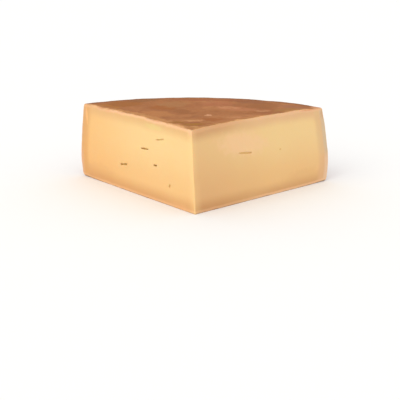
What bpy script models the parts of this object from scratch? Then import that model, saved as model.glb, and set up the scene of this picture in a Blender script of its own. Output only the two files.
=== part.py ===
"""A quarter of a wheel of hard, aged mountain cheese, cut with two knife strokes.

The wheel is a turned solid, flat below but for a slight lift at its edge and a little sunk in the
middle above, with a side that swells towards its lower quarter. Two knife blocks cut it down to the
wedge, and small flattened cutters open the slits and pinholes that show in the paste. Metres, +Z up,
origin under the middle of the wedge, at its base.
"""

import math

import bmesh
import bpy
from mathutils import Matrix, Vector, noise

# Driving dimensions of the whole wheel
BELLY_RADIUS = 0.240
WHEEL_HEIGHT = 0.103
TOP_RADIUS = 0.934 * BELLY_RADIUS
BASE_RADIUS = 0.988 * BELLY_RADIUS
BELLY_LEVEL = 0.23 * WHEEL_HEIGHT
SIDE_FULLNESS = 1.46  # 1 is a straight taper above the belly, 2 a parabola
TOP_ROUNDING = 0.0055
BASE_ROUNDING = 0.0045
DISH_RADIUS = 0.112
DISH_DEPTH = 0.0028
STAND_RADIUS = 0.170  # beyond it the base lifts off the shelf, by BASE_LIFT at its edge
BASE_LIFT = 0.0012

# The knife strokes: the quarter's angle, and how far the blade's foot wandered sideways
WEDGE_ANGLE = math.radians(90)
BLADE_DRIFT = 0.0043
KNIFE_BLOCK = 0.6

# Unevenness of the rind, pressed in by cloth, hands and shelf: depth, wavelength and noise offset
RIND_SWELLS = (0.0011, 0.075, Vector((3.1, 7.7, 1.9)))
RIND_DENTS = (0.0007, 0.021, Vector((11.3, 2.4, 5.6)))
TOP_SHARE = 0.6  # the pressed top face is smoother than the side
BASE_BLEND = 0.010  # the relief fades out above the flat base over this height

# Facets
TURN_STEPS = 232
TOP_RINGS = 30
SIDE_ROWS = 15
BASE_RINGS = 4
LIFT_RINGS = 4
CORNER_STEPS = 5
SLIT_SEGMENTS = 14
SLIT_RINGS = 7

# A slit's cutter has its middle this far in front of the face, so that none of its points lies in it
SLIT_STANDOFF = 0.00017

# Openings in the paste: distance from the wheel's axis, height above the base, length, width, depth
# and rise in degrees on the way out from the axis
LEFT_FACE_SLITS = (
    (0.0597, 0.0796, 0.0160, 0.0014, 0.0014, -12),
    (0.0918, 0.0630, 0.0152, 0.0021, 0.0036, -4),
    (0.1424, 0.0338, 0.0082, 0.0026, 0.0046, -10),
    (0.1352, 0.0350, 0.0080, 0.0024, 0.0050, -10),
    (0.0722, 0.0454, 0.0070, 0.0021, 0.0056, -6),
    (0.0450, 0.0252, 0.0046, 0.0028, 0.0012, -50),
)
RIGHT_FACE_SLITS = (
    (0.0844, 0.0614, 0.0222, 0.0021, 0.0016, -7),
    (0.1462, 0.0572, 0.0036, 0.0018, 0.0006, 6),
)

RIND_COLOUR = (0.45, 0.19, 0.08, 1.0)
PASTE_COLOUR = (0.88, 0.62, 0.29, 1.0)


def clear_scene():
    for obj in list(bpy.data.objects):
        bpy.data.objects.remove(obj, do_unlink=True)


def make_material(name, colour, roughness):
    material = bpy.data.materials.new(name)
    material.use_nodes = True
    shader = material.node_tree.nodes["Principled BSDF"]
    shader.inputs["Base Color"].default_value = colour
    shader.inputs["Roughness"].default_value = roughness
    shader.inputs["Metallic"].default_value = 0.0
    return material


def make_collection(name):
    collection = bpy.data.collections.new(name)
    bpy.context.scene.collection.children.link(collection)
    return collection


def side_radius(height):
    """Radius of the wheel's side at a height, before its two edges are rounded."""
    if height > BELLY_LEVEL:
        share = (height - BELLY_LEVEL) / (WHEEL_HEIGHT - BELLY_LEVEL)
        return BELLY_RADIUS - (BELLY_RADIUS - TOP_RADIUS) * share**SIDE_FULLNESS
    share = (BELLY_LEVEL - height) / BELLY_LEVEL
    return BELLY_RADIUS - (BELLY_RADIUS - BASE_RADIUS) * share**2


def top_level(radius):
    """Height of the wheel's top face at a distance from its axis: level round a shallow dish."""
    return WHEEL_HEIGHT - DISH_DEPTH * max(0.0, 1 - radius / DISH_RADIUS) ** 2


def base_level(radius):
    """Height of the wheel's base at a distance from its axis: flat, then lifting to its edge."""
    share = max(0.0, (radius - STAND_RADIUS) / (BASE_RADIUS - STAND_RADIUS))
    return BASE_LIFT * share**2


def rounded_corner(before, corner, after, radius):
    """Points of the arc that rounds a corner of the profile."""
    to_before = (before - corner).normalized()
    to_after = (after - corner).normalized()
    half_angle = to_before.angle(to_after) / 2
    centre = corner + (to_before + to_after).normalized() * radius / math.sin(half_angle)
    reach = radius / math.tan(half_angle)
    start = (corner + to_before * reach - centre).normalized()
    end = (corner + to_after * reach - centre).normalized()
    return [centre + start.slerp(end, i / CORNER_STEPS) * radius for i in range(CORNER_STEPS + 1)]


def wheel_profile():
    """Half outline of the wheel as (radius, height): over the top, down the side and back to the axis."""
    step = WHEEL_HEIGHT / SIDE_ROWS
    top_corner = rounded_corner(
        Vector((0, WHEEL_HEIGHT)),
        Vector((TOP_RADIUS, WHEEL_HEIGHT)),
        Vector((side_radius(WHEEL_HEIGHT - step), WHEEL_HEIGHT - step)),
        TOP_ROUNDING,
    )
    inner_radius = BASE_RADIUS - 2 * BASE_ROUNDING
    base_corner = rounded_corner(
        Vector((side_radius(step), step)),
        Vector((BASE_RADIUS, base_level(BASE_RADIUS))),
        Vector((inner_radius, base_level(inner_radius))),
        BASE_ROUNDING,
    )
    radii = [top_corner[0].x * i / TOP_RINGS for i in range(TOP_RINGS)]
    top = [Vector((r, top_level(r))) for r in radii]
    heights = [WHEEL_HEIGHT - step * i for i in range(1, SIDE_ROWS)]
    side = [Vector((side_radius(z), z)) for z in heights if base_corner[0].y < z < top_corner[-1].y]
    lift_width = base_corner[-1].x - STAND_RADIUS
    lift_radii = [STAND_RADIUS + lift_width * i / LIFT_RINGS for i in range(LIFT_RINGS - 1, 0, -1)]
    lift = [Vector((r, base_level(r))) for r in lift_radii]
    stand = [Vector((STAND_RADIUS * (1 - i / BASE_RINGS), 0)) for i in range(BASE_RINGS + 1)]
    return top + top_corner + side + base_corner + lift + stand


def turned_wheel():
    """The plain wheel as a mesh: its half outline turned about Z."""
    outline = wheel_profile()
    mesh = bpy.data.meshes.new("half_outline")
    points = [(p.x, 0, p.y) for p in outline]
    mesh.from_pydata(points, [(i, i + 1) for i in range(len(points) - 1)], [])
    turning = bpy.data.objects.new("half_outline", mesh)
    bpy.context.scene.collection.objects.link(turning)
    screw = turning.modifiers.new("Turn", "SCREW")
    screw.angle = 2 * math.pi
    screw.steps = TURN_STEPS
    screw.render_steps = TURN_STEPS
    screw.use_merge_vertices = True
    screw.merge_threshold = 0.00001
    graph = bpy.context.evaluated_depsgraph_get()
    wheel = bpy.data.meshes.new_from_object(turning.evaluated_get(graph))
    bpy.data.objects.remove(turning, do_unlink=True)
    return wheel


def rind_relief(point, normal):
    """How far the rind stands out at a point: broad swells and smaller dents, none at the flat base."""
    height = 0.0
    for depth, wavelength, offset in (RIND_SWELLS, RIND_DENTS):
        height += depth * noise.noise(point / wavelength + offset)
    facing_up = max(0.0, normal.z)
    above_base = min(1.0, point.z / BASE_BLEND)
    return height * above_base * (1 - (1 - TOP_SHARE) * facing_up)


def weather_rind(mesh):
    """Moves each point of the wheel along its normal by the rind's relief."""
    shape = bmesh.new()
    shape.from_mesh(mesh)
    shape.normal_update()
    lifts = [vertex.normal * rind_relief(vertex.co, vertex.normal) for vertex in shape.verts]
    for vertex, lift in zip(shape.verts, lifts):
        vertex.co += lift
    shape.to_mesh(mesh)
    shape.free()


def place(obj, collection, parent):
    collection.objects.link(obj)
    obj.parent = parent
    return obj


def face_matrix(side):
    """Frame of the left (-1) or right (1) cut face: X out from the axis, Y out of the cheese, Z up.

    The blade drifted sideways on its way down, so both faces lean the same way. They pass through the
    wheel's axis at the level of the belly.
    """
    turn = Matrix.Rotation(math.radians(90) - side * WEDGE_ANGLE / 2, 4, "Z")
    mirror = Matrix.Diagonal((1, -side, 1, 1))
    lean = Matrix.Identity(4)
    lean[0][2] = -BLADE_DRIFT / WHEEL_HEIGHT
    lean[0][3] = BLADE_DRIFT * BELLY_LEVEL / WHEEL_HEIGHT
    return lean @ turn @ mirror


def make_cutter(name, shape, matrix, material):
    """Turns a block or ball around its own origin into a cutter object, put in place by matrix."""
    shape.transform(matrix)
    if matrix.determinant() < 0:
        bmesh.ops.reverse_faces(shape, faces=shape.faces)
    mesh = bpy.data.meshes.new(name)
    shape.to_mesh(mesh)
    shape.free()
    mesh.materials.append(material)
    cutter = bpy.data.objects.new(name, mesh)
    cutter.hide_render = True
    cutter.display_type = "WIRE"
    return cutter


def make_knife(name, side, paste):
    """A block whose one side is the cut face: taking it away leaves what lies behind the blade."""
    shape = bmesh.new()
    bmesh.ops.create_cube(shape, size=KNIFE_BLOCK)
    spot = Matrix.Translation((0, KNIFE_BLOCK / 2, 0))
    return make_cutter(name, shape, face_matrix(side) @ spot, paste)


def make_slit(name, side, slit, paste):
    """A flattened ball that opens one slit or pinhole in a cut face, centred just in front of it."""
    out, up, length, width, depth, rise = slit
    shape = bmesh.new()
    bmesh.ops.create_uvsphere(shape, u_segments=SLIT_SEGMENTS, v_segments=SLIT_RINGS, radius=1)
    size = Matrix.Diagonal((length / 2, depth, width / 2, 1))
    tilt = Matrix.Rotation(-math.radians(rise), 4, "Y")
    spot = Matrix.Translation((out, SLIT_STANDOFF, up))
    return make_cutter(name, shape, face_matrix(side) @ spot @ tilt @ size, paste)


def take_away(obj, cutter):
    cut = obj.modifiers.new(cutter.name, "BOOLEAN")
    cut.operation = "DIFFERENCE"
    cut.object = cutter
    cut.material_mode = "TRANSFER"


def stand_on_origin(wedge, axis):
    """Moves the wheel's axis so that the middle of the wedge's base box is the origin."""
    bpy.context.view_layer.update()
    evaluated = wedge.evaluated_get(bpy.context.evaluated_depsgraph_get())
    corners = [evaluated.matrix_world @ Vector(corner) for corner in evaluated.bound_box]
    for i in range(2):
        values = [corner[i] for corner in corners]
        axis.location[i] = -(min(values) + max(values)) / 2
    bpy.context.view_layer.update()


def main():
    clear_scene()
    rind = make_material("rind", RIND_COLOUR, 0.5)
    paste = make_material("paste", PASTE_COLOUR, 0.55)
    cheese = make_collection("cheese_quarter")
    cutters = make_collection("cutters")
    axis = bpy.data.objects.new("wheel_axis", None)
    cheese.objects.link(axis)

    mesh = turned_wheel()
    weather_rind(mesh)
    mesh.materials.append(rind)
    mesh.shade_smooth()
    mesh.set_sharp_from_angle(angle=math.radians(40))
    wedge = place(bpy.data.objects.new("cheese_wedge", mesh), cheese, axis)

    for name, side, slits in (("left", -1, LEFT_FACE_SLITS), ("right", 1, RIGHT_FACE_SLITS)):
        take_away(wedge, place(make_knife(f"{name}_knife", side, paste), cutters, axis))
        for number, slit in enumerate(slits, 1):
            cutter = make_slit(f"{name}_slit_{number}", side, slit, paste)
            take_away(wedge, place(cutter, cutters, axis))
    stand_on_origin(wedge, axis)


main()
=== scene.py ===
import math

import bmesh
import bpy
from mathutils import Matrix, Vector, noise


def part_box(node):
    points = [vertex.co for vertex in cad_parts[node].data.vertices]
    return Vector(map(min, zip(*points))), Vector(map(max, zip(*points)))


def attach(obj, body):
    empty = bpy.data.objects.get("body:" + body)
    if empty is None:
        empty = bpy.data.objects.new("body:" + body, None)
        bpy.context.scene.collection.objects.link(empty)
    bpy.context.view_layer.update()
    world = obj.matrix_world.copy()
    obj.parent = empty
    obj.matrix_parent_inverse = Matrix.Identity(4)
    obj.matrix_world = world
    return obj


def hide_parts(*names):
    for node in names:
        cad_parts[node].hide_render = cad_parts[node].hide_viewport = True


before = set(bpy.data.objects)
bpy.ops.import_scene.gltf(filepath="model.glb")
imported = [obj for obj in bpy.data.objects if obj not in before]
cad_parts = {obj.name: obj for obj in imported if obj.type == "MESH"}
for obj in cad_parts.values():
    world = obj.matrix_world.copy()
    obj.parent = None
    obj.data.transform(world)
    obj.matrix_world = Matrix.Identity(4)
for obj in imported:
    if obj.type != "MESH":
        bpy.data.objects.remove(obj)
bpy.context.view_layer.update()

# A quarter of a wheel of hard mountain cheese: straw-yellow paste under a brown oiled rind.
# Metres, +Z up. The knife point faces -Y. The wedge is modelled round the wheel's axis, at the
# origin, and moved to its place in the frame at the end.

nodeLow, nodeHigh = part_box("cheese_wedge")
wheelAxis = Vector(((nodeLow.x + nodeHigh.x) / 2, nodeLow.y, nodeLow.z))

wheel = {
    "bellyRadius": 0.240,
    "height": 0.103,
    "topShare": 0.934,  # top edge, base edge and belly level, as shares of belly radius and height
    "baseShare": 0.988,
    "bellyShare": 0.23,
    "fullness": 1.46,  # 1 is a straight taper above the belly, 2 a parabola
    "topRounding": 0.0055,
    "baseRounding": 0.0045,
    "slopeStep": 1 / 15,  # of the height: where the side's slope is read for its rounded edges
    "dishRadius": 0.112,
    "dishDepth": 0.0028,
    "standRadius": 0.170,  # beyond it the base lifts off the floor, by baseLift at its edge
    "baseLift": 0.0012,
    "quarter": 90,  # degrees between the two knife strokes
    "bladeDrift": 0.0043,  # how far the blade's foot wandered sideways
}

rindShape = {
    "swells": (0.0011, 0.075, (3.1, 7.7, 1.9)),  # depth, wavelength and noise offset
    "dents": (0.0007, 0.021, (11.3, 2.4, 5.6)),
    "puckers": (0.00025, 0.0065, (2.8, 9.1, 4.4)),
    "nicks": (0.0003, 0.0090, (4.2, 4.9, 0.7)),  # where the knife broke its cut edge
    "topShare": 0.6,  # the pressed top is smoother than the side
    "baseBlend": 0.010,  # none at the flat base, all of it this far up
    "wornCorner": (0.152, 0.154, 0.103),  # the right top corner, rubbed down
    "wornDepth": 0.0011,
    "wornReach": 0.045,
}

cutShape = {
    "waves": (0.00035, 0.045, (7.2, 1.3, 3.3)),  # depth, wavelength and noise offset
    "drag": (0.00010, 0.011, (1.7, 8.8, 6.1)),
    "pointFade": 0.006,  # none at the knife point, all of it this far out
}

grid = {
    "cells": 150,  # along each straight top edge; the rim has twice as many
    "cornerSteps": 7,
    "rowHeight": 0.0016,
    "edgeRounding": 0.00045,
    "edgeSegments": 3,
    "edgeAngle": 50,  # degrees: edges that turn more than this are rounded
}

slits = {  # distance from the axis, height, length, width, depth and rise in degrees on the way out
    "left": (
        (0.0597, 0.0796, 0.0160, 0.0014, 0.0014, -12),
        (0.0918, 0.0630, 0.0152, 0.0021, 0.0036, -4),
        (0.1424, 0.0338, 0.0082, 0.0026, 0.0046, -10),
        (0.1352, 0.0350, 0.0080, 0.0024, 0.0050, -10),
        (0.0722, 0.0454, 0.0070, 0.0021, 0.0056, -6),
        (0.0450, 0.0252, 0.0046, 0.0028, 0.0012, -50),
    ),
    "right": (
        (0.0844, 0.0614, 0.0222, 0.0021, 0.0016, -7),
        (0.1462, 0.0572, 0.0036, 0.0018, 0.0006, 6),
    ),
    "standoff": 0.00017,  # keeps the cutters' own points off the plane of the cut
    "bluntness": 0.45,  # 1 is a leaf shape, less has fuller ends
    "ragged": 0.18,  # unevenness of their outline, as a share of the size
    "ragScale": 1.9,  # the more, the finer it is
    "segments": 40,
    "rings": 16,
}

height = wheel["height"]
bellyRadius = wheel["bellyRadius"]
bellyLevel = wheel["bellyShare"] * height
topRadius = wheel["topShare"] * bellyRadius
baseRadius = wheel["baseShare"] * bellyRadius
halfQuarter = math.radians(wheel["quarter"] / 2)
bladeLean = wheel["bladeDrift"] / height
up = Vector((0, 0, 1))
rindSlot = 0  # places of the wedge's materials
pasteSlot = 1
slitSlot = 2


def addObject(name, data):
    made = bpy.data.objects.new(name, data)
    bpy.context.scene.collection.objects.link(made)
    return made


def sideRadius(level):  # the wheel's side at a height, before its two edges are rounded
    if level > bellyLevel:
        share = (level - bellyLevel) / (height - bellyLevel)
        return bellyRadius - (bellyRadius - topRadius) * share ** wheel["fullness"]
    share = (bellyLevel - level) / bellyLevel
    return bellyRadius - (bellyRadius - baseRadius) * share**2


def topLevel(radius):  # level round a shallow dish
    return height - wheel["dishDepth"] * max(0.0, 1 - radius / wheel["dishRadius"]) ** 2


def baseLevel(radius):  # flat, then lifting to its edge
    stand = wheel["standRadius"]
    return wheel["baseLift"] * max(0.0, (radius - stand) / (baseRadius - stand)) ** 2


def bladeShift(level):  # where the leaning knife edge stands at a height
    return bladeLean * (bellyLevel - level)


def roundedCorner(before, corner, after, radius):
    toBefore = (before - corner).normalized()
    toAfter = (after - corner).normalized()
    half = toBefore.angle(toAfter) / 2
    centre = corner + (toBefore + toAfter).normalized() * radius / math.sin(half)
    reach = radius / math.tan(half)
    start = (corner + toBefore * reach - centre).normalized()
    end = (corner + toAfter * reach - centre).normalized()
    steps = grid["cornerSteps"]
    return [centre + start.slerp(end, i / steps) * radius for i in range(steps + 1)]


def rimProfile():  # (radius, height) from the top face over its rounded edge and down to the base
    step = height * wheel["slopeStep"]
    upper = Vector((sideRadius(height - step), height - step))
    lower = Vector((sideRadius(step), step))
    top = roundedCorner(Vector((0, height)), Vector((topRadius, height)), upper, wheel["topRounding"])
    inner = baseRadius - 2 * wheel["baseRounding"]  # on the base, inside its rounded edge
    edge = Vector((baseRadius, baseLevel(baseRadius)))
    floor = Vector((inner, baseLevel(inner)))
    base = roundedCorner(lower, edge, floor, wheel["baseRounding"])
    rows = round((top[-1].y - base[0].y) / grid["rowHeight"])
    levels = [top[-1].y + (base[0].y - top[-1].y) * i / rows for i in range(1, rows)]
    return top + [Vector((sideRadius(z), z)) for z in levels] + base


def unevenness(spot, depth, wavelength, offset):
    return depth * noise.noise(spot / wavelength + Vector(offset))


def aboveBase(spot):
    return min(1.0, spot.z / rindShape["baseBlend"])


def wornAt(spot):  # deepest at the worn corner, nothing beyond its reach
    distance = (spot - Vector(rindShape["wornCorner"])).length / rindShape["wornReach"]
    return rindShape["wornDepth"] * max(0.0, 1 - distance**2) ** 2


def rindLift(spot, normal):  # how far the rind stands out from the plain wheel
    lift = sum(unevenness(spot, *rindShape[kind]) for kind in ("swells", "dents", "puckers"))
    facingUp = max(0.0, normal.z)
    evenness = 1 - (1 - rindShape["topShare"]) * facingUp
    return lift * aboveBase(spot) * evenness - wornAt(spot) * facingUp


def onStroke(spot, side):  # moved sideways into the left (-1) or right (1) knife stroke
    return Vector((bladeShift(spot.z) + side * math.tan(halfQuarter) * spot.y, spot.y, spot.z))


def rindSpot(spot, normal, side):  # side is 0 away from the knife strokes
    lifted = spot + normal * rindLift(spot, normal)
    if side == 0:
        return lifted
    nick = abs(unevenness(spot, *rindShape["nicks"])) * aboveBase(spot)
    return onStroke(lifted - normal * nick, side)


def strokeAngles(radius, level):  # where a level circle meets the right and the left knife stroke
    shift = bladeShift(level)
    angles = []
    for side in (1, -1):
        along = Vector((side * math.sin(halfQuarter), math.cos(halfQuarter)))
        nearest = shift * along.x
        reach = math.sqrt(nearest**2 - shift**2 + radius**2) - nearest
        angles.append(math.atan2(reach * along.y, shift + reach * along.x))
    return angles


def arcSpot(radius, level, angles, share):
    angle = angles[0] + (angles[1] - angles[0]) * share
    return Vector((radius * math.cos(angle), radius * math.sin(angle), level))


class Skin:  # the wedge's points and faces while they are made
    def __init__(self):
        self.spots = []
        self.faces = []
        self.slots = []

    def add(self, spot):
        self.spots.append(spot)
        return len(self.spots) - 1

    def sheet(self, rows, slot):
        for upper, lower in zip(rows, rows[1:]):
            for i in range(len(upper) - 1):
                self.faces.append((upper[i], lower[i], lower[i + 1], upper[i + 1]))
                self.slots.append(slot)


def discRows(skin, radius, level, levelAt, normal):
    # Rings about the knife point. The first index counts along the right stroke, the second
    # along the left.
    cells = grid["cells"]
    angles = strokeAngles(radius, level)
    point = Vector((bladeShift(level), 0, level))
    rows = []
    for i in range(cells + 1):
        row = []
        for j in range(cells + 1):
            ring = max(i, j)
            step = j if i >= j else 2 * ring - i
            share = step / (2 * ring) if ring else 0.5
            spot = point.lerp(arcSpot(radius, level, angles, share), ring / cells)
            spot.z = levelAt(spot.xy.length)
            side = 1 if j == 0 else -1 if i == 0 else 0
            row.append(skin.add(rindSpot(spot, normal, side)))
        rows.append(row)
    return rows


def outerRing(rows):
    cells = grid["cells"]
    return rows[cells] + [rows[i][cells] for i in range(cells - 1, -1, -1)]


def sideRows(skin, profile, topRing, baseRing):
    last = len(topRing) - 1
    rows = [topRing]
    for above, here, below in zip(profile, profile[1:], profile[2:]):
        slope = (below - above).normalized()
        angles = strokeAngles(here.x, here.y)
        row = []
        for i in range(last + 1):
            spot = arcSpot(here.x, here.y, angles, i / last)
            outward = spot.xy.normalized()
            normal = Vector((-slope.y * outward.x, -slope.y * outward.y, slope.x))
            side = 1 if i == 0 else -1 if i == last else 0
            row.append(skin.add(rindSpot(spot, normal, side)))
        rows.append(row)
    return rows + [baseRing]


def cutRows(skin, top, base, point, rim, downs):
    # A sheet spanned by its four borders: top and base run outwards, knife point and rim run down
    spots = skin.spots
    last = len(top) - 1
    rows = [top]
    for left, right, down in list(zip(point, rim, downs))[1:-1]:
        row = [left]
        for i in range(1, last):
            out = i / last
            upright = spots[top[i]].lerp(spots[base[i]], down)
            across = spots[left].lerp(spots[right], out)
            upper = spots[top[0]].lerp(spots[top[last]], out)
            lower = spots[base[0]].lerp(spots[base[last]], out)
            row.append(skin.add(upright + across - upper.lerp(lower, down)))
        rows.append(row + [right])
    return rows + [base]


def waveCut(skin, rows, side):  # the blade's unevenness
    outward = Vector((side * math.cos(halfQuarter), -math.sin(halfQuarter), 0))
    for row in rows:
        for index in row[1:]:
            spot = skin.spots[index]
            fade = min(1.0, spot.xy.length / cutShape["pointFade"])
            wave = unevenness(spot, *cutShape["waves"]) + unevenness(spot, *cutShape["drag"])
            skin.spots[index] = spot + outward * wave * fade


def wedgeMesh(materials):
    skin = Skin()
    profile = rimProfile()
    downs = [(height - spot.y) / height for spot in profile]
    top = discRows(skin, profile[0].x, height, topLevel, up)
    base = discRows(skin, profile[-1].x, 0, baseLevel, -up)
    side = sideRows(skin, profile, outerRing(top), outerRing(base))
    tip = skin.spots[top[0][0]]
    foot = skin.spots[base[0][0]]
    point = [top[0][0]] + [skin.add(tip.lerp(foot, down)) for down in downs[1:-1]] + [base[0][0]]
    for rows in (top, base, side):
        skin.sheet(rows, rindSlot)
    cuts = (  # right, then left
        (1, [row[0] for row in top], [row[0] for row in base], [row[0] for row in side]),
        (-1, top[0], base[0], [row[-1] for row in side]),
    )
    for direction, upper, lower, rim in cuts:
        rows = cutRows(skin, upper, lower, point, rim, downs)
        waveCut(skin, rows, direction)
        skin.sheet(rows, pasteSlot)

    wedge = bpy.data.meshes.new("cheeseWedge")
    wedge.from_pydata(skin.spots, [], skin.faces)
    wedge.polygons.foreach_set("material_index", skin.slots)
    for material in materials:
        wedge.materials.append(material)
    faces = bmesh.new()
    faces.from_mesh(wedge)
    bmesh.ops.recalc_face_normals(faces, faces=faces.faces)
    faces.to_mesh(wedge)
    faces.free()
    wedge.shade_smooth()
    print(f"wedge is shaped: {len(wedge.polygons)} faces")
    return wedge


def cutFrame(side):  # X out from the axis, Y out of the cheese, Z up, on the left (-1) or right (1) cut
    turn = Matrix.Rotation(math.radians(90) - side * halfQuarter, 4, "Z")
    mirror = Matrix.Diagonal((1, -side, 1, 1))
    lean = Matrix.Identity(4)
    lean[0][2] = -bladeLean
    lean[0][3] = bladeLean * bellyLevel
    return lean @ turn @ mirror


def slitCutter(name, side, slit, material):  # a flattened ragged ball
    out, level, length, width, depth, rise = slit
    ball = bmesh.new()
    bmesh.ops.create_uvsphere(ball, u_segments=slits["segments"], v_segments=slits["rings"], radius=1)
    for vertex in ball.verts:
        spot = vertex.co * slits["ragScale"] + Vector((out, level, length)) / width
        vertex.co.x = math.copysign(abs(vertex.co.x) ** slits["bluntness"], vertex.co.x)
        vertex.co *= 1 + slits["ragged"] * noise.noise(spot)
    size = Matrix.Diagonal((length / 2, depth, width / 2, 1))
    tilt = Matrix.Rotation(-math.radians(rise), 4, "Y")
    matrix = cutFrame(side) @ Matrix.Translation((out, slits["standoff"], level)) @ tilt @ size
    ball.transform(matrix)
    if matrix.determinant() < 0:
        bmesh.ops.reverse_faces(ball, faces=ball.faces)
    shape = bpy.data.meshes.new(name)
    ball.to_mesh(shape)
    ball.free()
    shape.materials.append(material)
    shape.shade_smooth()
    return addObject(name, shape)


def rindDistances(spot):  # to the top, side and base of the wheel
    radius = spot.xy.length
    onTop = Vector((spot.x, spot.y, topLevel(radius)))
    outward = Vector((spot.x, spot.y, 0)).normalized()
    onSide = outward * sideRadius(spot.z) + up * spot.z
    toTop = onTop.z + rindLift(onTop, up) - spot.z
    toSide = sideRadius(spot.z) + rindLift(onSide, outward) - radius
    return toTop, toSide, spot.z - baseLevel(radius)


def roundedLeast(distances, blend):  # the least of them, rounded off where two are alike
    return -blend * math.log(sum(math.exp(-distance / blend) for distance in distances))


def markDistances(shape):  # what the paste's colours need to know, at every point of the mesh
    distances = [rindDistances(vertex.co) for vertex in shape.vertices]
    marks = {
        "belowTop": [found[0] for found in distances],
        "fromSide": [found[1] for found in distances],
        "aboveBase": [found[2] for found in distances],
        "insideFrame": [roundedLeast(found, paste["frameCorner"]) for found in distances],
    }
    for name, values in marks.items():
        shape.attributes.new(name, "FLOAT", "POINT").data.foreach_set("value", values)


class Wire:  # a node's output; sums written with it become Math nodes
    def __init__(self, finish, socket):
        self.finish = finish
        self.socket = socket

    def __add__(self, other):
        return self.finish.maths("ADD", self, other)

    def __sub__(self, other):
        return self.finish.maths("SUBTRACT", self, other)

    def __rsub__(self, other):
        return self.finish.maths("SUBTRACT", other, self)

    def __mul__(self, other):
        return self.finish.maths("MULTIPLY", self, other)

    def __pow__(self, other):
        return self.finish.maths("POWER", self, other)

    __radd__ = __add__
    __rmul__ = __mul__


class Finish:  # a material and the nodes that make its pattern
    def __init__(self, name):
        self.material = bpy.data.materials.new(name)
        self.material.use_nodes = True
        self.tree = self.material.node_tree
        self.tree.nodes.clear()

    def node(self, kind, settings, inputs, output=0):  # settings come before values and links
        made = self.tree.nodes.new(kind)
        for name, value in settings.items():
            if name == "stops":
                self.fillRamp(made.color_ramp, value)
            else:
                setattr(made, name, value)
        for key, value in inputs.items():
            socket = self.find(made.inputs, key)
            if isinstance(value, Wire):
                self.tree.links.new(value.socket, socket)
            else:
                socket.default_value = value
        return Wire(self, self.find(made.outputs, output)) if made.outputs else None

    def find(self, sockets, key):  # by its number or its identifier
        if isinstance(key, int):
            return sockets[key]
        return next(socket for socket in sockets if socket.identifier == key)

    def fillRamp(self, ramp, stops):
        while len(ramp.elements) < len(stops):
            ramp.elements.new(1)
        for element, (position, colour) in zip(ramp.elements, stops):
            element.position = position
            element.color = paint(*colour)

    def maths(self, operation, *terms):
        return self.node("ShaderNodeMath", {"operation": operation}, dict(enumerate(terms)))

    def vector(self, operation, *terms):
        return self.node("ShaderNodeVectorMath", {"operation": operation}, dict(enumerate(terms)))

    def mark(self, name):  # a distance stored on the mesh
        return self.node("ShaderNodeAttribute", {"attribute_name": name}, {}, "Fac")

    def place(self):  # metres from the wheel's axis, at floor level
        return self.vector("SUBTRACT", self.node("ShaderNodeTexCoord", {}, {}, "Object"), wheelAxis)

    def parts(self, vector):
        split = self.node("ShaderNodeSeparateXYZ", {}, {0: vector})
        return [Wire(self, split.socket.node.outputs[axis]) for axis in "XYZ"]

    def whole(self, x, y, z):
        return self.node("ShaderNodeCombineXYZ", {}, {"X": x, "Y": y, "Z": z})

    def rightward(self, x, z):  # distance to the right of the leaning knife edge
        return x + (z - bellyLevel) * bladeLean

    def belowCut(self, x, y, z):  # depth under the nearer of the two cuts
        return (y - self.maths("ABSOLUTE", self.rightward(x, z))) * math.cos(halfQuarter)

    def blotches(self, where, size, detail=3, roughness=0.5, warp=0):  # size in metres
        inputs = {"Vector": where, "Scale": 1 / size, "Detail": detail, "Roughness": roughness}
        return self.node("ShaderNodeTexNoise", {}, inputs | {"Distortion": warp}) - 0.5

    def streaks(self, where, flatter, *noises):  # blotches, drawn out sideways
        return self.blotches(self.vector("MULTIPLY", where, (1, 1, flatter)), *noises)

    def frayed(self, where, reach, size, detail, roughness):  # moved about, for ragged outlines
        inputs = {"Vector": where, "Scale": 1 / size, "Detail": detail, "Roughness": roughness}
        colours = self.node("ShaderNodeTexNoise", {}, inputs, "Color")
        drift = self.vector("SUBTRACT", colours, (0.5, 0.5, 0.5))
        return self.vector("MULTIPLY_ADD", drift, (reach, reach, reach), where)

    def oval(self, where, x, y, length, width, turn):  # 0 in its middle, 1 on its outline
        inputs = {"Vector": where, "Location": (x, y, 0), "Rotation": (0, 0, math.radians(turn))}
        inputs["Scale"] = (length / 2, width / 2, 1)
        mapped = self.node("ShaderNodeMapping", {"vector_type": "TEXTURE"}, inputs)
        u, v = self.parts(mapped)[:2]
        return (u**2 + v**2) ** 0.5

    def grade(self, value, zeroAt, oneAt):  # 0 to 1 with soft ends
        inputs = {"Value": value, "From Min": zeroAt, "From Max": oneAt}
        return self.node("ShaderNodeMapRange", {"interpolation_type": "SMOOTHSTEP"}, inputs)

    def mix(self, share, first, second, blend="MIX"):
        settings = {"data_type": "RGBA", "blend_type": blend}
        inputs = {"Factor_Float": share, "A_Color": first, "B_Color": second}
        return self.node("ShaderNodeMix", settings, inputs, "Result_Color")

    def tinted(self, tone, share, colour):
        return self.mix(share, tone, paint(*colour))

    def bump(self, relief, distance, strength=1.0):
        inputs = {"Height": relief, "Distance": distance, "Strength": strength}
        return self.node("ShaderNodeBump", {}, inputs)

    def surface(self, **inputs):  # a Principled BSDF, with _ for the spaces in its sockets' names
        names = {name.replace("_", " "): value for name, value in inputs.items()}
        shader = self.node("ShaderNodeBsdfPrincipled", {}, names)
        self.node("ShaderNodeOutputMaterial", {}, {"Surface": shader})
        return self.material


def paint(red, green, blue):  # 0 to 255, as a colour picker shows them, made linear
    values = [value / 255 for value in (red, green, blue)]
    return [v / 12.92 if v <= 0.04045 else ((v + 0.055) / 1.055) ** 2.4 for v in values] + [1]


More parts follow.
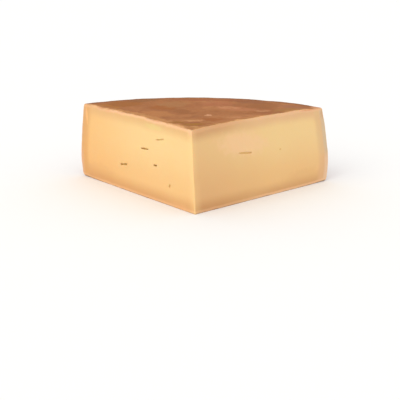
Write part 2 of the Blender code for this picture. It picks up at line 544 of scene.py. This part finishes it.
paste = {
    "straw": (237, 202, 141),
    "clouds": (0.045, 2),  # noises: size, detail and roughness
    "wander": (0.018, 2),
    "curd": (0.008, 3, 0.6),
    "grain": (0.0011, 2, 0.6),
    "levelClouds": 0.02,  # how far the noises move the borders of the washes, in metres
    "topCurd": 0.0018,
    "topWander": 0.0050,
    "baseCurd": 0.0010,
    "baseWander": 0.0020,
    "sideWander": 0.003,
    "frameClouds": 0.004,
    "frameCorner": 0.005,  # how much the frame under the rind is rounded at its corners
    "knifeEdge": (0.0004, -0.0004),  # over which the left cut turns into the right one
    "lowerHalf": (0.045, 0.030),
    "leftFar": (0.150, 0.190),
    "rightFar": (0.036, 0.132),
    "rightShade": (0.084, 0.0),
    "leastShade": 0.5,  # share of its tone that stays above rightShade
    "patchEdge": (1.1, 0.4),  # where a patch begins and is full: 1 is its outline, 0 its middle
    "openGrain": (247, 246, 243),  # takes the tone down where the grain is open
    "grainEdge": (-0.2, 0.2),
    "grainTone": 0.12,
    "curdTone": 0.2,
    "roughness": 0.5,
    "curdRoughness": 0.3,
    "grainRelief": 0.4,
    "relief": (0.0004, 0.6),  # height and strength
    "scatterWeight": 0.25,
    "scatterTint": (1.0, 0.5, 0.2),
    "scatter": 0.004,
    "shine": 0.35,
}

washes = (  # what is measured, where the tone begins and is full, region, strength, tone
    ("level", 0.074, 0.020, "", 1.0, (233, 189, 128)),  # darker and warmer towards the base: painted shade
    # the left cut darker and more amber away from the knife point: painted shade where its light falls
    # off
    ("out", 0.068, 0.240, "left", 0.7, (233, 177, 106)),
    # painted shade on the right cut, deepest near the knife point and towards the base
    ("out", 0.148, 0.0, "rightShade", 1.0, (220, 172, 118)),
    ("frame", 0.018, 0.0045, "left high", 0.8, (220, 174, 117)),  # drier paste under the rind; darker towards the base and on the right cut near the knife point, as painted shade
    ("frame", 0.018, 0.0045, "rightNear high", 0.8, (204, 152, 104)),
    ("frame", 0.018, 0.0045, "rightFar high", 0.8, (223, 175, 130)),
    ("frame", 0.0215, 0.003, "left low", 0.8, (207, 152, 97)),
    ("frame", 0.0200, 0.003, "rightNear low", 0.8, (198, 144, 91)),
    ("frame", 0.0175, 0.003, "rightFar low", 0.8, (207, 155, 102)),
    ("side", 0.0215, 0.0095, "left", 0.8, (219, 162, 94)),  # along the wheel's side
    ("side", 0.0225, 0.0140, "right high", 0.8, (223, 184, 133)),
    ("side", 0.0225, 0.0140, "right low", 0.8, (226, 179, 130)),
    ("side", 0.0080, 0.0030, "left high", 0.8, (214, 163, 110)),
    ("side", 0.0080, 0.0030, "left low", 0.8, (218, 168, 128)),
    ("side", 0.0095, 0.0040, "right high", 0.8, (208, 184, 152)),
    ("side", 0.0095, 0.0040, "right low", 0.8, (229, 192, 158)),
    ("top", 0.0054, 0.0026, "leftNear", 0.85, (238, 189, 144)),  # where paste meets rind; darker on the right cut near the knife point and on the left one away from it, as painted shade
    ("top", 0.0054, 0.0026, "leftFar", 0.85, (229, 177, 127)),
    ("top", 0.0054, 0.0026, "rightNear", 0.85, (220, 169, 121)),
    ("top", 0.0054, 0.0026, "rightFar", 0.85, (233, 186, 140)),
    ("base", 0.0046, 0.0022, "left", 0.85, (231, 179, 129)),
    ("base", 0.0046, 0.0022, "rightNear", 0.85, (222, 173, 127)),
    ("base", 0.0046, 0.0022, "rightFar", 0.85, (238, 191, 146)),
    ("top", 0.0019, 0.0003, "left", 0.52, (186, 130, 84)),  # the crust's last trace
    # the crust's edge along the foot, dark also as painted contact shadow
    ("base", 0.0010, 0.0003, "", 0.75, (140, 88, 50)),
    ("out", 0.012, 0.0005, "left high", 0.45, (246, 207, 144)),  # the knife edge: painted highlight
    ("out", 0.009, 0.0005, "right high", 0.30, (246, 207, 144)),
    ("out", 0.014, 0.0005, "low", 0.30, (246, 207, 144)),
    ("out", 0.0020, 0.0006, "low", 0.60, (246, 207, 144)),
)

stainsAndShade = (  # stains on the cuts, and painted shade in the lower left corner of the left cut: region, distance from the axis, height, length, width, rise, strength, tone
    ("right", 0.2060, 0.1018, 0.0500, 0.0040, 0, 0.7, (216, 148, 102)),
    ("right", 0.2290, 0.0930, 0.0120, 0.0180, 0, 0.6, (206, 156, 116)),
    ("right", 0.0800, 0.0740, 0.1000, 0.0360, -8, 0.5, (244, 198, 155)),
    ("right", 0.1900, 0.0150, 0.0900, 0.0240, 0, 0.25, (214, 162, 104)),
    ("left", 0.2180, 0.0860, 0.0060, 0.0300, 0, 0.6, (248, 190, 124)),
    ("left", 0.0030, 0.0970, 0.0090, 0.0090, 0, 0.5, (240, 191, 150)),
    ("left", 0.0720, 0.0930, 0.0440, 0.0090, 0, 0.6, (228, 202, 133)),
    ("left", 0.0280, 0.0030, 0.0500, 0.0120, 0, 0.4, (228, 176, 122)),
    # painted shade in the lower left corner of the left cut
    ("left", 0.2200, 0.0030, 0.0400, 0.0080, 0, 0.4, (203, 149, 97)),
    ("left", 0.1950, 0.0160, 0.0900, 0.0240, 0, 0.2, (203, 149, 97)),
)


def pasteFinish():
    finish = Finish("paste")
    place = finish.place()
    x, y, z = finish.parts(place)
    rightward = finish.rightward(x, z)
    out = (rightward**2 + y**2) ** 0.5
    clouds, wander, curd, grain = (
        finish.blotches(place, *paste[name]) for name in ("clouds", "wander", "curd", "grain")
    )
    measures = {
        "level": z + clouds * paste["levelClouds"],
        "out": out,
        "top": finish.mark("belowTop") + curd * paste["topCurd"] + wander * paste["topWander"],
        "base": finish.mark("aboveBase") + curd * paste["baseCurd"] + wander * paste["baseWander"],
        "side": finish.mark("fromSide") + wander * paste["sideWander"],
        "frame": finish.mark("insideFrame") + clouds * paste["frameClouds"],
    }
    left = finish.grade(rightward, *paste["knifeEdge"])
    low = finish.grade(z, *paste["lowerHalf"])
    leftFar = left * finish.grade(out, *paste["leftFar"])
    rightFar = (1 - left) * finish.grade(out, *paste["rightFar"])
    # painted shade on the right cut, more of it towards the base
    least = paste["leastShade"]
    shade = least + (1 - least) * finish.grade(z, *paste["rightShade"])
    regions = {
        "left": left,
        "right": 1 - left,
        "low": low,
        "high": 1 - low,
        "leftFar": leftFar,
        "leftNear": left - leftFar,
        "rightFar": rightFar,
        "rightNear": 1 - left - rightFar,
        "rightShade": (1 - left) * shade,
    }

    def within(region):
        return math.prod(regions[word] for word in region.split())

    tone = paint(*paste["straw"])
    for measured, zeroAt, oneAt, region, strength, colour in washes:
        share = finish.grade(measures[measured], zeroAt, oneAt) * strength * within(region)
        tone = finish.tinted(tone, share, colour)
    onCut = finish.whole(out, z, 0)
    # stains, and painted shade low on the left cut
    for region, *oval, strength, colour in stainsAndShade:
        spread = finish.oval(onCut, *oval) + curd
        share = finish.grade(spread, *paste["patchEdge"]) * strength * within(region)
        tone = finish.tinted(tone, share, colour)
    grained = finish.mix(1.0, tone, paint(*paste["openGrain"]), "MULTIPLY")
    grains = finish.grade(grain, *paste["grainEdge"]) - 0.5
    closed = grains * paste["grainTone"] + curd * paste["curdTone"] + 0.5
    tone = finish.mix(closed, grained, tone)

    return finish.surface(
        Base_Color=tone,
        Roughness=paste["roughness"] + curd * paste["curdRoughness"],
        Normal=finish.bump(grain * paste["grainRelief"] + curd, *paste["relief"]),
        Subsurface_Weight=paste["scatterWeight"],
        Subsurface_Radius=paste["scatterTint"],
        Subsurface_Scale=paste["scatter"],
        Specular_IOR_Level=paste["shine"],
    )


slitWall = {
    # lip: darker tan at the slits' openings, painted shade in the slits
    "lip": (214, 168, 112),
    "deep": (232, 200, 134),
    "lipDepth": (0.0003, 0.0018),
    "mottle": (0.0015, 3),  # noise: size and detail
    "mottleReach": 0.001,  # how far it moves the border of the lip
    "roughness": 0.6,
    "relief": 0.0003,
    "shine": 0.0,
}


def slitFinish():
    finish = Finish("slitWall")
    place = finish.place()
    mottle = finish.blotches(place, *slitWall["mottle"])
    depth = finish.belowCut(*finish.parts(place)) + mottle * slitWall["mottleReach"]
    # painted shade: the lip is darker than the deep wall
    share = finish.grade(depth, *slitWall["lipDepth"])
    return finish.surface(
        Base_Color=finish.mix(share, paint(*slitWall["lip"]), paint(*slitWall["deep"])),
        Roughness=slitWall["roughness"],
        Normal=finish.bump(mottle, slitWall["relief"]),
        Specular_IOR_Level=slitWall["shine"],
    )


def mottled(finish, where, tone, layers):
    for noises, edge, strength, colour in layers:
        share = finish.grade(finish.streaks(where, *noises), *edge) * strength
        tone = finish.tinted(tone, share, colour)
    return tone


topLook = {
    "tones": ((0.34, (153, 101, 70)), (0.50, (161, 108, 73)), (0.66, (169, 115, 78))),
    "clouds": (0.060, 3, 0.5, 0.4),  # noises: size, detail, roughness and warp
    "swirls": (0.030, 4, 0.6, 0.8),
    "wander": (0.014, 3, 0.6),
    "fraying": (0.018, 0.012, 3, 0.6),  # how far it moves the smears, then as above
    "swirlShare": 0.6,  # how much the swirls change the outline of a smear
    "smearEdge": (1.15, 0.6),  # where a smear begins and is full: 1 is its outline, 0 its middle
    # nearCut: painted glow on the top rind along the cut edges
    "nearCut": (184, 133, 87),
    "nearCutDepth": (0.010, 0.001),
    "nearCutWander": 0.020,
    "nearCutShare": 0.6,
    "chip": (220, 167, 116),
    "chipDepth": (0.0022, -0.0006),
    "chipWander": 0.022,
    "chipShare": 0.68,
    "mottles": (  # noise with its flattening first, where the tone begins and is full, strength, tone
        ((1.0, 0.030, 3, 0.5, 0.8), (0.06, 0.20), 0.60, (178, 122, 84)),
        ((1.0, 0.030, 3, 0.5, 0.8), (-0.08, -0.20), 0.60, (147, 98, 68)),
        ((1.0, 0.017, 3, 0.5, 0.5), (0.08, 0.14), 0.40, (174, 118, 80)),
        ((1.0, 0.017, 3, 0.5, 0.5), (-0.08, -0.14), 0.40, (150, 101, 71)),
        ((1.0, 0.006, 3, 0.5, 0.3), (0.12, 0.22), 0.30, (182, 130, 91)),
        ((1.0, 0.006, 3, 0.5, 0.3), (-0.12, -0.22), 0.35, (136, 88, 59)),
    ),
}

smears = (  # on the top, from the wheel's axis: x, y, length, width, turn in degrees, strength, tone
    (-0.108, 0.156, 0.056, 0.044, 30, 0.8, (153, 100, 60)),
    (-0.050, 0.132, 0.034, 0.040, 0, 0.8, (157, 99, 61)),
    (-0.052, 0.086, 0.050, 0.036, -45, 0.8, (175, 120, 79)),
    (-0.040, 0.162, 0.040, 0.056, 0, 0.8, (162, 114, 78)),
    (-0.010, 0.152, 0.022, 0.070, 0, 0.5, (154, 100, 70)),
    (-0.022, 0.107, 0.052, 0.030, -60, 0.8, (148, 98, 66)),
    (0.018, 0.168, 0.050, 0.044, 0, 0.6, (169, 108, 79)),
    (0.044, 0.134, 0.058, 0.034, -12, 0.9, (174, 116, 83)),
    (0.080, 0.160, 0.050, 0.056, -20, 0.8, (150, 100, 67)),
    (-0.082, 0.190, 0.056, 0.026, 24, 0.9, (145, 100, 69)),
    (0.060, 0.192, 0.060, 0.026, -18, 0.9, (145, 98, 72)),
    (0.118, 0.154, 0.050, 0.026, -35, 0.7, (155, 107, 82)),
    (0.005, 0.200, 0.110, 0.016, 0, 0.7, (152, 93, 69)),
    (0.108, 0.130, 0.050, 0.022, 45, 0.8, (160, 115, 73)),
    (0.018, 0.058, 0.034, 0.020, 0, 0.8, (157, 99, 62)),
    (-0.014, 0.050, 0.046, 0.018, 0, 0.8, (169, 117, 78)),
    (-0.066, 0.072, 0.140, 0.012, -45, 0.8, (184, 131, 87)),
    (-0.124, 0.140, 0.050, 0.014, -45, 0.8, (166, 112, 65)),
    (0.036, 0.141, 0.040, 0.022, -16, 0.6, (190, 133, 97)),
    (0.080, 0.117, 0.024, 0.012, 0, 0.5, (194, 142, 105)),
    (0.044, 0.072, 0.024, 0.010, -12, 0.5, (185, 130, 94)),
    (-0.004, 0.048, 0.028, 0.010, 4, 0.8, (191, 137, 96)),
    (-0.022, 0.037, 0.026, 0.012, 0, 0.8, (150, 104, 58)),
    (-0.002, 0.028, 0.026, 0.011, 0, 0.8, (156, 110, 58)),
    (-0.032, 0.042, 0.012, 0.010, -45, 0.7, (186, 134, 92)),
    (0.010, 0.040, 0.016, 0.012, 0, 0.5, (178, 126, 78)),
    (-0.001, 0.016, 0.018, 0.010, 0, 0.7, (194, 145, 94)),
    (0.0105, 0.083, 0.010, 0.015, -20, 0.8, (206, 153, 116)),
)


def topRind(finish, place):
    clouds = finish.blotches(place, *topLook["clouds"])
    swirls = finish.blotches(place, *topLook["swirls"])
    wander = finish.blotches(place, *topLook["wander"])
    tone = finish.node("ShaderNodeValToRGB", {"stops": topLook["tones"]}, {"Fac": clouds + 0.5})
    tone = mottled(finish, place, tone, topLook["mottles"])
    ragged = finish.frayed(place, *topLook["fraying"])
    for *oval, strength, colour in smears:
        spread = finish.oval(ragged, *oval) + swirls * topLook["swirlShare"] + wander
        share = finish.grade(spread, *topLook["smearEdge"]) * strength
        tone = finish.tinted(tone, share, colour)
    fromCut = finish.belowCut(*finish.parts(place))
    # painted glow along the cut edges
    nearCut = finish.grade(fromCut + wander * topLook["nearCutWander"], *topLook["nearCutDepth"])
    tone = finish.tinted(tone, nearCut * topLook["nearCutShare"], topLook["nearCut"])
    chips = finish.grade(fromCut + wander * topLook["chipWander"], *topLook["chipDepth"])
    return finish.tinted(tone, chips * topLook["chipShare"], topLook["chip"])


sideLook = {
    "tones": (
        (0.30, (144, 70, 36)),
        (0.46, (176, 90, 43)),
        (0.58, (194, 108, 52)),
        (0.72, (206, 118, 58)),
    ),
    "bands": (3.4, 0.110, 2, 0.5, 0.5),  # noises: flattening, size, detail, roughness and warp
    "scuffs": (2.0, 0.030, 3, 0.5),
    # painted highlight along the upper side, below the top edge
    "shoulderHighlight": (210, 136, 88),
    "shoulderHighlightLevels": (0.068, 0.098),
    "shoulderHighlightWander": 0.05,
    "shoulderHighlightShare": 0.7,
    "foot": (118, 62, 34),
    "footLevels": (0.008, 0.001),
    "footWander": 0.012,
    "footShare": 0.7,
    "mottles": (  # noise, where the tone begins and is full, strength, tone
        ((4.0, 0.130, 1, 0.5, 0.5), (-0.02, 0.20), 0.85, (132, 61, 32)),
        ((5.0, 0.110, 1, 0.5, 0.3), (-0.02, 0.20), 0.85, (224, 128, 58)),
        ((3.0, 0.050, 3, 0.5, 0.6), (0.04, 0.20), 0.50, (216, 142, 92)),
        ((6.0, 0.045, 2, 0.5, 0.3), (-0.06, -0.26), 0.50, (120, 58, 31)),
        ((2.5, 0.014, 3, 0.5, 0.3), (0.10, 0.26), 0.30, (222, 150, 98)),
    ),
}


def sideRind(finish, onWall, z):
    bands = finish.streaks(onWall, *sideLook["bands"])
    scuffs = finish.streaks(onWall, *sideLook["scuffs"])
    tone = finish.node("ShaderNodeValToRGB", {"stops": sideLook["tones"]}, {"Fac": bands + 0.5})
    tone = mottled(finish, onWall, tone, sideLook["mottles"])
    # painted highlight on the shoulder
    shoulderHighlight = finish.grade(z + scuffs * sideLook["shoulderHighlightWander"], *sideLook["shoulderHighlightLevels"])
    tone = finish.tinted(tone, shoulderHighlight * sideLook["shoulderHighlightShare"], sideLook["shoulderHighlight"])
    foot = finish.grade(z + scuffs * sideLook["footWander"], *sideLook["footLevels"])
    return finish.tinted(tone, foot * sideLook["footShare"], sideLook["foot"])


rind = {
    "mottle": (0.009, 4, 0.6),  # noises: size, detail and roughness
    "pores": (0.0022, 3, 0.6),
    "edgeWander": (0.030, 2),
    "edgeReach": 0.012,  # how far that one moves the tones round the top edge
    "sideRing": (-0.004, 0.001),  # from the top edge outwards: the side's tones begin and are full
    "edgeRing": (116, 79, 54),  # darker ring round the top edge, inside it and over its rounding
    "edgeRingSpan": (-0.013, -0.007, 0.001, 0.005),  # as above: begins, full, full, ends
    "edgeRingShare": 0.5,
    "topLevels": (0.092, 0.099),  # over which the darker ring and the worn corner's painted highlight set in
    # lighter patch on the rubbed right top corner: wear and painted highlight
    "worn": (214, 160, 124),
    "wornPatch": (0.158, 0.158, 0.036, 0.032, -45),  # x, y, length, width and turn in degrees
    "wornEdge": (1.15, 0.6),
    "wornShare": 0.6,
    "pit": (141, 89, 53),
    "pitEdge": (-0.05, -0.25),
    "pitShare": 0.5,
    "roughness": 0.62,
    "mottleRoughness": 0.25,
    "mottleRelief": 0.7,
    "poreRelief": 0.3,
    "relief": (0.0007, 0.6),  # height and strength
    "scatterWeight": 0.05,
    "scatterTint": (1.0, 0.4, 0.2),
    "scatter": 0.002,
    "shine": 0.0,
    "oil": 0.35,  # on the side alone
    "oilRoughness": 0.3,
}


def rindFinish():
    finish = Finish("rind")
    place = finish.place()
    x, y, z = finish.parts(place)
    radius = (x**2 + y**2) ** 0.5
    onWall = finish.whole(finish.maths("ARCTAN2", x, y) * bellyRadius, radius, z)
    mottle = finish.blotches(place, *rind["mottle"])
    pores = finish.blotches(place, *rind["pores"])
    edgeWander = finish.blotches(place, *rind["edgeWander"])

    fromEdge = radius - topRadius + edgeWander * rind["edgeReach"]
    onSide = finish.grade(fromEdge, *rind["sideRing"])
    tone = finish.mix(onSide, topRind(finish, place), sideRind(finish, onWall, z))
    nearTop = finish.grade(z, *rind["topLevels"])
    begins, full, stillFull, ends = rind["edgeRingSpan"]
    edgeRing = finish.grade(fromEdge, begins, full) * finish.grade(fromEdge, ends, stillFull)
    tone = finish.tinted(tone, edgeRing * nearTop * rind["edgeRingShare"], rind["edgeRing"])
    # wear and painted highlight on the right top corner
    worn = finish.grade(finish.oval(place, *rind["wornPatch"]) + mottle, *rind["wornEdge"])
    tone = finish.tinted(tone, worn * nearTop * rind["wornShare"], rind["worn"])
    pits = finish.grade(mottle, *rind["pitEdge"])
    tone = finish.tinted(tone, pits * rind["pitShare"], rind["pit"])
    relief = mottle * rind["mottleRelief"] + pores * rind["poreRelief"]
    return finish.surface(
        Base_Color=tone,
        Roughness=rind["roughness"] + mottle * rind["mottleRoughness"],
        Normal=finish.bump(relief, *rind["relief"]),
        Specular_IOR_Level=rind["shine"],
        Subsurface_Weight=rind["scatterWeight"],
        Subsurface_Radius=rind["scatterTint"],
        Subsurface_Scale=rind["scatter"],
        Coat_Weight=onSide * rind["oil"],
        Coat_Roughness=rind["oilRoughness"],
    )


def roundEdges(blank):
    rounding = blank.modifiers.new("cutEdges", "BEVEL")
    rounding.limit_method = "ANGLE"
    rounding.angle_limit = math.radians(grid["edgeAngle"])
    rounding.width = grid["edgeRounding"]
    rounding.segments = grid["edgeSegments"]


def cutSlits(blank, material):
    cutters = []
    for name, side in (("left", -1), ("right", 1)):
        for number, slit in enumerate(slits[name], 1):
            cutter = slitCutter(f"{name}Slit{number}", side, slit, material)
            cut = blank.modifiers.new(cutter.name, "BOOLEAN")
            cut.operation = "DIFFERENCE"
            cut.object = cutter
            cut.material_mode = "TRANSFER"
            cutters.append(cutter)
    return cutters


def cheeseWedge():
    materials = [rindFinish(), pasteFinish(), slitFinish()]
    print("rind, paste and slit materials are made")
    blank = addObject("cheeseWedgeBlank", wedgeMesh(materials))
    roundEdges(blank)
    cutters = cutSlits(blank, materials[slitSlot])
    bpy.context.view_layer.update()
    depsgraph = bpy.context.evaluated_depsgraph_get()
    finished = bpy.data.meshes.new_from_object(blank.evaluated_get(depsgraph))
    print(f"edges are rounded and {len(cutters)} slits cut")
    for extra in cutters + [blank]:
        bpy.data.objects.remove(extra, do_unlink=True)

    markDistances(finished)
    finished.transform(Matrix.Translation(wheelAxis))
    finished.name = "cheeseWedge"
    wedge = addObject("cheeseWedge", finished)
    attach(wedge, "root")
    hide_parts("cheese_wedge")
    print(f"cheese wedge: {len(finished.polygons)} faces")


studio = {
    "floorRadius": 40,
    "floorSides": 64,
    "floorColour": (240, 240, 240),
    "floorRoughness": 0.9,
    "floorShine": 0.1,
    "backdropColour": (1, 1, 1, 1),
    "backdrop": 1.0,
    "keyFrom": (-0.50, -0.70, 0.62),
    "keySpread": 50,  # degrees
    "keyPower": 0.95,
    "keyColour": (1.0, 0.94, 0.82),
}


def layFloor():
    finish = Finish("floor")
    material = finish.surface(
        Base_Color=paint(*studio["floorColour"]),
        Roughness=studio["floorRoughness"],
        Specular_IOR_Level=studio["floorShine"],
    )
    disc = bmesh.new()
    sides = studio["floorSides"]
    bmesh.ops.create_circle(disc, cap_ends=True, segments=sides, radius=studio["floorRadius"])
    shape = bpy.data.meshes.new("floor")
    disc.to_mesh(shape)
    disc.free()
    shape.materials.append(material)
    floor = addObject("floor", shape)
    print("floor is laid")


def lightStudio():
    world = bpy.data.worlds.new("studio")
    world.use_nodes = True
    background = world.node_tree.nodes["Background"]
    background.inputs["Color"].default_value = studio["backdropColour"]
    background.inputs["Strength"].default_value = studio["backdrop"]
    bpy.context.scene.world = world
    bpy.context.scene.view_settings.view_transform = "Standard"
    lamp = bpy.data.lights.new("keyLight", "SUN")
    lamp.energy = studio["keyPower"]
    lamp.color = studio["keyColour"]
    lamp.angle = math.radians(studio["keySpread"])
    light = addObject("keyLight", lamp)
    direction = Vector(studio["keyFrom"]).normalized()
    light.location = direction
    light.rotation_euler = direction.to_track_quat("Z", "Y").to_euler()
    print("lights are set")


camera = {  # from the wheel's axis, in metres and degrees
    "stand": (0.06232, -0.84296, 0.26958),
    "turn": 3.778,
    "dip": 16.581,
    "roll": 0.275,
    "lens": 68.158,  # millimetres
}


def setCamera():
    data = bpy.data.cameras.new("camera")
    data.lens = camera["lens"]
    view = addObject("camera", data)
    turn = Matrix.Rotation(math.radians(camera["turn"]), 4, "Z")
    dip = Matrix.Rotation(math.radians(90 - camera["dip"]), 4, "X")
    roll = Matrix.Rotation(math.radians(camera["roll"]), 4, "Z")
    view.matrix_world = Matrix.Translation(wheelAxis + Vector(camera["stand"])) @ turn @ dip @ roll
    bpy.context.scene.camera = view
    print("camera is set")


cheeseWedge()
layFloor()
lightStudio()
setCamera()
